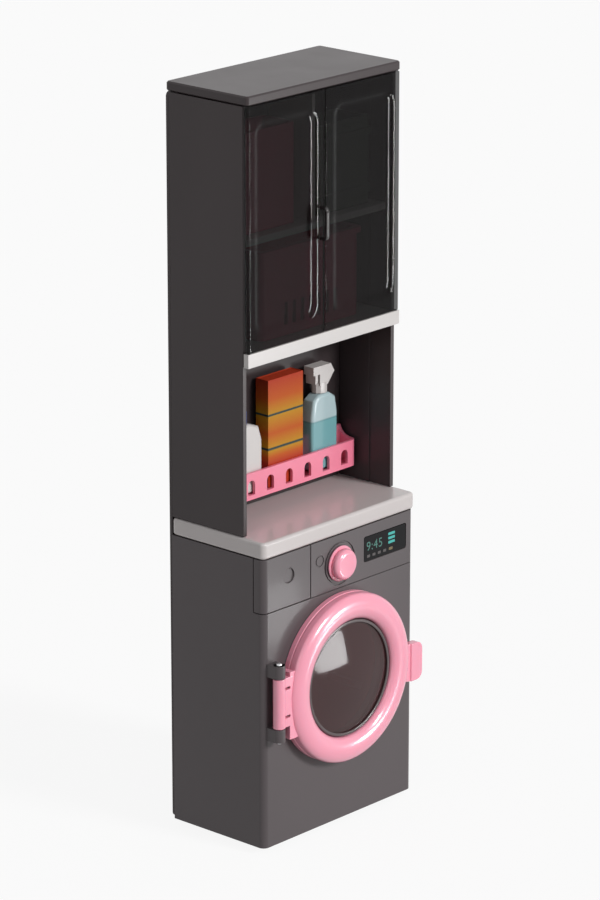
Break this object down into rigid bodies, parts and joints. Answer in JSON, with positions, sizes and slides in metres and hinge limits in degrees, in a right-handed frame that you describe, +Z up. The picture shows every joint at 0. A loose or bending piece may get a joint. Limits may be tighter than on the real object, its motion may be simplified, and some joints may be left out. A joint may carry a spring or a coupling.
{
  "type": "toy washing machine tower",
  "caption": "Toy laundry tower: play washing machine with a turning drum, an open alcove with a rack, and a two-door cupboard on top.",
  "frame": {"origin": "on the surface that the tower stands on, under the middle of its bounding box", "axes": "+X to the right seen from the front, +Y from the doors to the back cover, +Z up"},
  "size_m": [0.094, 0.062, 0.32],
  "materials": {
    "grey_plastic": "satin moulded, silver grey",
    "white_plastic": "gloss moulded",
    "black_plastic": "semi-gloss moulded",
    "foot_plastic": "matt moulded",
    "pink_plastic": "gloss moulded",
    "rack_plastic": "gloss moulded",
    "rose_plastic": "gloss moulded",
    "red_plastic": "gloss moulded",
    "smoke_lens": "smoke-tinted clear moulding, polished",
    "smoke_door": "black smoke-tinted clear moulding, polished",
    "display": "gloss black window with printed figures",
    "seal": "soft matt moulding",
    "natural_plastic": "unpainted moulded",
    "green_plastic": "satin moulded",
    "blue_plastic": "gloss moulded",
    "turquoise_plastic": "clear tinted moulding",
    "box_card": "printed card",
    "steel": "plated"
  },
  "bodies": {
    "tower": {"washer_shell": "grey_plastic", "control_panel": "grey_plastic", "display_window": "display", "washer_top": "white_plastic", "washer_base": "grey_plastic", "foot_front_left": "foot_plastic", "foot_front_right": "foot_plastic", "foot_back_left": "foot_plastic", "foot_back_right": "foot_plastic", "drawer_runner": "natural_plastic", "door_seal": "seal", "hinge_pin": "steel", "drum_axle": "steel", "idler_pin": "steel", "gear_plate": "natural_plastic", "cabinet_left_wall": "black_plastic", "cabinet_right_wall": "black_plastic", "alcove_back": "black_plastic", "cupboard_floor": "white_plastic", "cupboard_cap": "black_plastic", "cupboard_shelf": "white_plastic", "cupboard_divider": "white_plastic", "laundry_basket": "rose_plastic", "storage_bin": "rose_plastic", "storage_crate": "green_plastic", "alcove_rack": "rack_plastic", "back_cover": "black_plastic", "screw_gear_lower_left": "steel", "screw_gear_upper_left": "steel", "screw_gear_lower_right": "steel", "screw_gear_upper_right": "steel", "screw_base_lower_left": "steel", "screw_base_lower_right": "steel", "screw_cabinet_upper_left": "steel", "screw_cabinet_upper_right": "steel", "screw_cabinet_top_left": "steel", "screw_cabinet_top_right": "steel"},
    "washer_door": {"door_ring": "pink_plastic", "door_lens": "smoke_lens", "lens_bezel": "seal", "lens_retainer": "pink_plastic"},
    "drum": {"drum": "red_plastic", "drum_gear": "natural_plastic"},
    "idler": {"idler_gear": "natural_plastic"},
    "knob": {"programme_knob": "pink_plastic", "knob_shaft": "natural_plastic", "knob_pinion": "natural_plastic"},
    "drawer": {"detergent_drawer": "grey_plastic"},
    "left_door": {"left_cupboard_door": "smoke_door", "cupboard_handle": "black_plastic"},
    "right_door": {"right_cupboard_door": "smoke_door"},
    "powder": {"detergent_box": "box_card"},
    "softener": {"softener_bottle": "white_plastic", "softener_cap": "blue_plastic"},
    "spray": {"spray_bottle": "turquoise_plastic", "spray_head": "white_plastic"}
  },
  "joints": [
    {"name": "washer_door_hinge", "type": "hinge", "parent": "tower", "child": "washer_door", "pos_m": [-0.042, -0.0266, 0.0675], "axis": [0, 0, -1], "range_deg": [0, 115]},
    {"name": "drum_spin", "type": "hinge", "parent": "tower", "child": "drum", "pos_m": [0, 0, 0.0675], "axis": [0, 1, 0], "continuous": true},
    {"name": "idler_spin", "type": "hinge", "parent": "tower", "child": "idler", "pos_m": [0, 0.0164, 0.0999], "axis": [0, 1, 0], "continuous": true},
    {"name": "knob_turn", "type": "hinge", "parent": "tower", "child": "knob", "pos_m": [0, -0.025, 0.1167], "axis": [0, 1, 0], "continuous": true},
    {"name": "drawer_slide", "type": "slide", "parent": "tower", "child": "drawer", "axis": [0, -1, 0], "range_m": [0, 0.022]},
    {"name": "left_door_hinge", "type": "hinge", "parent": "tower", "child": "left_door", "pos_m": [-0.0447, -0.0126, 0.265], "axis": [0, 0, -1], "range_deg": [0, 110]},
    {"name": "right_door_hinge", "type": "hinge", "parent": "tower", "child": "right_door", "pos_m": [0.0447, -0.0126, 0.265], "axis": [0, 0, 1], "range_deg": [0, 110]},
    {"name": "powder_lift", "type": "slide", "parent": "tower", "child": "powder", "axis": [0, 0, 1], "range_m": [0, 0.0105]},
    {"name": "softener_lift", "type": "slide", "parent": "tower", "child": "softener", "axis": [0, 0, 1], "range_m": [0, 0.0105]},
    {"name": "spray_lift", "type": "slide", "parent": "tower", "child": "spray", "axis": [0, 0, 1], "range_m": [0, 0.0105]}
  ],
  "couplings": [
    {"joint": "idler_spin", "follows": "drum_spin", "ratio": -3.5},
    {"joint": "knob_turn", "follows": "drum_spin", "ratio": 2.625}
  ]
}
